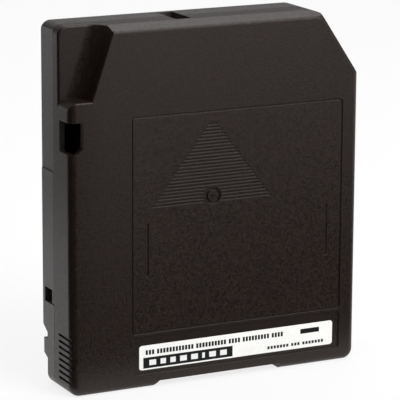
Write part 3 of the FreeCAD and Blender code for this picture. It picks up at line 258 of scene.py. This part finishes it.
def moulded_plastic(name, dark, light, roughness, grain_size, grain_depth, gloss=0.5, edge=0):
    """A moulded plastic, speckled from dark to light, with its grain in bump and gloss, and rounded edges."""
    made = bpy.data.materials.new(name)
    made.use_nodes = True
    nodes, links = made.node_tree.nodes, made.node_tree.links
    surface = nodes["Principled BSDF"]
    surface.inputs["Specular IOR Level"].default_value = gloss
    grain = nodes.new("ShaderNodeGroup")
    grain.node_tree = bpy.data.node_groups.get("moulded_grain") or moulded_grain()
    grain.inputs["Grain size"].default_value = grain_size
    shade = nodes.new("ShaderNodeMath")
    shade.operation = "MULTIPLY_ADD"
    shade.inputs[1].default_value = SPECKLE_SHARE
    links.new(grain.outputs["Speckle"], shade.inputs[0])
    links.new(grain.outputs["Cloud"], shade.inputs[2])
    colour = nodes.new("ShaderNodeMix")
    colour.data_type = "RGBA"
    colour.inputs["A"].default_value = (*dark, 1)
    colour.inputs["B"].default_value = (*light, 1)
    links.new(shade.outputs[0], colour.inputs["Factor"])
    links.new(colour.outputs["Result"], surface.inputs["Base Color"])
    dull = nodes.new("ShaderNodeMapRange")
    dull.inputs["To Min"].default_value = roughness - GRAIN_DULLNESS
    dull.inputs["To Max"].default_value = roughness + GRAIN_DULLNESS
    links.new(grain.outputs["Speckle"], dull.inputs["Value"])
    links.new(dull.outputs[0], surface.inputs["Roughness"])
    relief = nodes.new("ShaderNodeBump")
    relief.inputs["Distance"].default_value = grain_depth
    relief.inputs["Strength"].default_value = 1
    links.new(grain.outputs["Height"], relief.inputs["Height"])
    if edge:
        softened = nodes.new("ShaderNodeBevel")
        softened.samples = EDGE_SAMPLES
        softened.inputs["Radius"].default_value = edge
        links.new(softened.outputs[0], relief.inputs["Normal"])
    links.new(relief.outputs[0], surface.inputs["Normal"])
    return made


def dress(node, material):
    """Give a carried-over CAD node one material all over."""
    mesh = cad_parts[node].data
    mesh.materials.clear()
    mesh.materials.append(material)


SHELL_EDGE = 0.0003
SHELL_ROUGHNESS = 0.42
charcoal = moulded_plastic("charcoal_grain",
                           dark=(0.0045, 0.0020, 0.0013), light=(0.0155, 0.0070, 0.0044),
                           roughness=SHELL_ROUGHNESS, grain_size=0.00065, grain_depth=0.00005,
                           gloss=0.44, edge=SHELL_EDGE)
charcoal.node_tree.nodes["Principled BSDF"].inputs["Specular Tint"].default_value = (1, 0.965, 0.94, 1)
dress("front_shell", charcoal)
back_charcoal = moulded_plastic("back_charcoal_grain",
                                dark=(0.012, 0.009, 0.008), light=(0.042, 0.036, 0.031),
                                roughness=SHELL_ROUGHNESS, grain_size=0.0008, grain_depth=0.00012,
                                gloss=0.6, edge=SHELL_EDGE)
dress("back_shell", back_charcoal)


# Label
# A white polyester label in its recess at the trailing end. Its print is left as plain shapes: one black
# field with white blocks at the lower left, rows of narrow blocks where a label carries its lines, and a bar.

label_film = moulded_plastic("label_film", dark=(0.87, 0.865, 0.845), light=(0.93, 0.925, 0.905),
                             roughness=0.5, grain_size=0.0006, grain_depth=0.000004, gloss=0.4)
dress("cleaning_label", label_film)

INK_HEIGHT = 0.00002
label_low, label_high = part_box("cleaning_label")
label_width = label_high.x - label_low.x
label_tall = label_high.z - label_low.z


def print_bars(name, bars, material, height=INK_HEIGHT):
    """Thin flat bars of ink on the label; each is (left, bottom, right, top) in shares of the label."""
    made = bmesh.new()
    for left, bottom, right, top in bars:
        low = Vector((label_low.x + left * label_width, label_low.y - height,
                      label_low.z + bottom * label_tall))
        high = Vector((label_low.x + right * label_width, label_low.y, label_low.z + top * label_tall))
        corners = [made.verts.new((x, y, z)) for x in (low.x, high.x) for y in (low.y, high.y)
                   for z in (low.z, high.z)]
        for face in ((0, 4, 5, 1), (0, 1, 3, 2), (4, 6, 7, 5), (0, 2, 6, 4), (1, 5, 7, 3), (2, 3, 7, 6)):
            made.faces.new([corners[corner] for corner in face])
    bmesh.ops.recalc_face_normals(made, faces=made.faces)
    mesh = bpy.data.meshes.new(name)
    made.to_mesh(mesh)
    made.free()
    mesh.materials.append(material)
    piece = bpy.data.objects.new(name, mesh)
    bpy.context.scene.collection.objects.link(piece)
    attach(piece, "casing")


black_ink = moulded_plastic("black_ink", dark=(0.004, 0.004, 0.004), light=(0.01, 0.01, 0.01),
                            roughness=0.5, grain_size=0.0003, grain_depth=0.000001, gloss=0.2)
BLACK_FIELD = (0.02, 0.06, 0.475, 0.5)
print_bars("label_field", [BLACK_FIELD], black_ink)

BLOCK_START = 0.14
BLOCK_END = 0.82
GROUP_GAP = 0.6


def block_row(row, counts):
    """Groups of narrow blocks, so many to a group, that fill a row from left to right."""
    left, bottom, right, top = row
    bars = []
    place = left
    step = (right - left) / (sum(counts) + GROUP_GAP * (len(counts) - 1))
    for count in counts:
        for number in range(count):
            bars.append((place + BLOCK_START * step, bottom, place + BLOCK_END * step, top))
            place += step
        place += GROUP_GAP * step
    return bars


UPPER_ROW = (0.03, 0.61, 0.74, 0.80)
LOWER_ROW = (0.655, 0.14, 0.955, 0.26)
PLAIN_BAR = (0.83, 0.60, 0.93, 0.8)
print_bars("label_lines",
           block_row(UPPER_ROW, [3, 12, 10, 4, 9, 4]) + [PLAIN_BAR] + block_row(LOWER_ROW, [7, 3, 7]),
           black_ink)


def field_row(row, widths, gap):
    """Blocks of the given relative widths, the same gap apart, that fill a row from left to right."""
    left, bottom, right, top = row
    bars = []
    place = left
    step = (right - left) / (sum(widths) + gap * (len(widths) - 1))
    for width in widths:
        bars.append((place, bottom, place + width * step, top))
        place += (width + gap) * step
    return bars


white_ink = moulded_plastic("white_ink", dark=(0.8, 0.8, 0.8), light=(0.88, 0.88, 0.88),
                            roughness=0.45, grain_size=0.0004, grain_depth=0.000001)
FIELD_ROW = (0.05, 0.17, 0.445, 0.39)
print_bars("field_blocks", field_row(FIELD_ROW, [5, 4, 4, 5, 5, 2, 5, 5], gap=3.2), white_ink,
           height=2 * INK_HEIGHT)


# Reel
# A hub and its back flange in one moulding of natural polycarbonate, a welded front flange, a short wind of
# cleaning tape, and a steel ring for the drive's magnet. Only the hub's middle shows, through the back.

reel_plastic = moulded_plastic("reel_plastic", dark=(0.50, 0.50, 0.485), light=(0.58, 0.58, 0.565),
                               roughness=0.4, grain_size=0.0005, grain_depth=0.00001)
dress("reel_hub", reel_plastic)
dress("reel_flange", reel_plastic)

DRAWN_LINES = (400, 400, 4000)
DRAWN_DULLNESS = 0.1
DRAWN_DEPTH = 0.000004


def plain_steel(name, colour, roughness):
    """Bare steel with fine drawn lines in its gloss and bump."""
    made = bpy.data.materials.new(name)
    made.use_nodes = True
    nodes, links = made.node_tree.nodes, made.node_tree.links
    surface = nodes["Principled BSDF"]
    surface.inputs["Metallic"].default_value = 1
    surface.inputs["Base Color"].default_value = (*colour, 1)
    place = nodes.new("ShaderNodeTexCoord")
    stretch = nodes.new("ShaderNodeMapping")
    stretch.inputs["Scale"].default_value = DRAWN_LINES
    lines = nodes.new("ShaderNodeTexNoise")
    lines.inputs["Scale"].default_value = 1
    lines.inputs["Detail"].default_value = 3
    links.new(place.outputs["Object"], stretch.inputs["Vector"])
    links.new(stretch.outputs[0], lines.inputs["Vector"])
    dull = nodes.new("ShaderNodeMapRange")
    dull.inputs["To Min"].default_value = roughness - DRAWN_DULLNESS
    dull.inputs["To Max"].default_value = roughness + DRAWN_DULLNESS
    links.new(lines.outputs["Fac"], dull.inputs["Value"])
    links.new(dull.outputs[0], surface.inputs["Roughness"])
    relief = nodes.new("ShaderNodeBump")
    relief.inputs["Distance"].default_value = DRAWN_DEPTH
    links.new(lines.outputs["Fac"], relief.inputs["Height"])
    links.new(relief.outputs[0], surface.inputs["Normal"])
    return made


ring_steel = plain_steel("ring_steel", colour=(0.60, 0.60, 0.61), roughness=0.35)
dress("clutch_plate", ring_steel)

tape_film = moulded_plastic("tape_film", dark=(0.022, 0.018, 0.015), light=(0.035, 0.03, 0.026),
                            roughness=0.3, grain_size=0.0003, grain_depth=0.000002)
dress("cleaning_tape", tape_film)
dress("tape_leader", tape_film)


# Brake
# A toothed button on the front shell's post, pressed to the hub by a coil spring, and the three-legged pad
# whose feet look out of the hub's back. Both mouldings are white acetal.

acetal = moulded_plastic("white_acetal", dark=(0.66, 0.66, 0.63), light=(0.74, 0.74, 0.71),
                         roughness=0.35, grain_size=0.0006, grain_depth=0.000006)
dress("brake_button", acetal)
dress("release_pad", acetal)
spring_steel = plain_steel("spring_steel", colour=(0.55, 0.55, 0.56), roughness=0.3)
dress("brake_spring", spring_steel)


# Corner door
# A smooth dark moulding that turns on a pivot inside the cut corner and fills its mouth. A steel torsion
# spring holds it shut until a drive pushes it open.

door_plastic = moulded_plastic("door_plastic", dark=(0.018, 0.017, 0.016), light=(0.028, 0.027, 0.026),
                               roughness=0.34, grain_size=0.0006, grain_depth=0.00001)
dress("corner_door", door_plastic)
dress("door_spring", spring_steel)


# Leader pin
# A turned steel pin that is parked behind the door in two leaf springs, where a drive takes hold of it. A
# clip of white acetal holds the tape's end on it.

dress("leader_pin", spring_steel)
dress("pin_spring_back", spring_steel)
dress("pin_spring_front", spring_steel)
dress("pin_clip", acetal)


# Write-protect switch
# A grey moulded slider in a window of the trailing wall. It moves by hand between two places and is held by
# its guides in the shells.

switch_plastic = moulded_plastic("switch_plastic", dark=(0.36, 0.36, 0.35), light=(0.44, 0.44, 0.43),
                                 roughness=0.25, grain_size=0.0005, grain_depth=0.00001)
dress("write_protect_switch", switch_plastic)


# Memory chip
# A small board with a green coat that a drive reads through the wall. It stands in rails in the trailing
# corner and isn't fixed in any other way.

chip_coat = moulded_plastic("chip_coat", dark=(0.015, 0.07, 0.03), light=(0.03, 0.11, 0.05),
                            roughness=0.3, grain_size=0.0008, grain_depth=0.000004)
dress("memory_chip", chip_coat)


# Shell screws
# Four like screws of zinc-plated steel. They are driven from the back, and their heads sit sunk in the back
# shell.

zinc = plain_steel("zinc_plate", colour=(0.50, 0.51, 0.52), roughness=0.38)
dress("shell_screws", zinc)
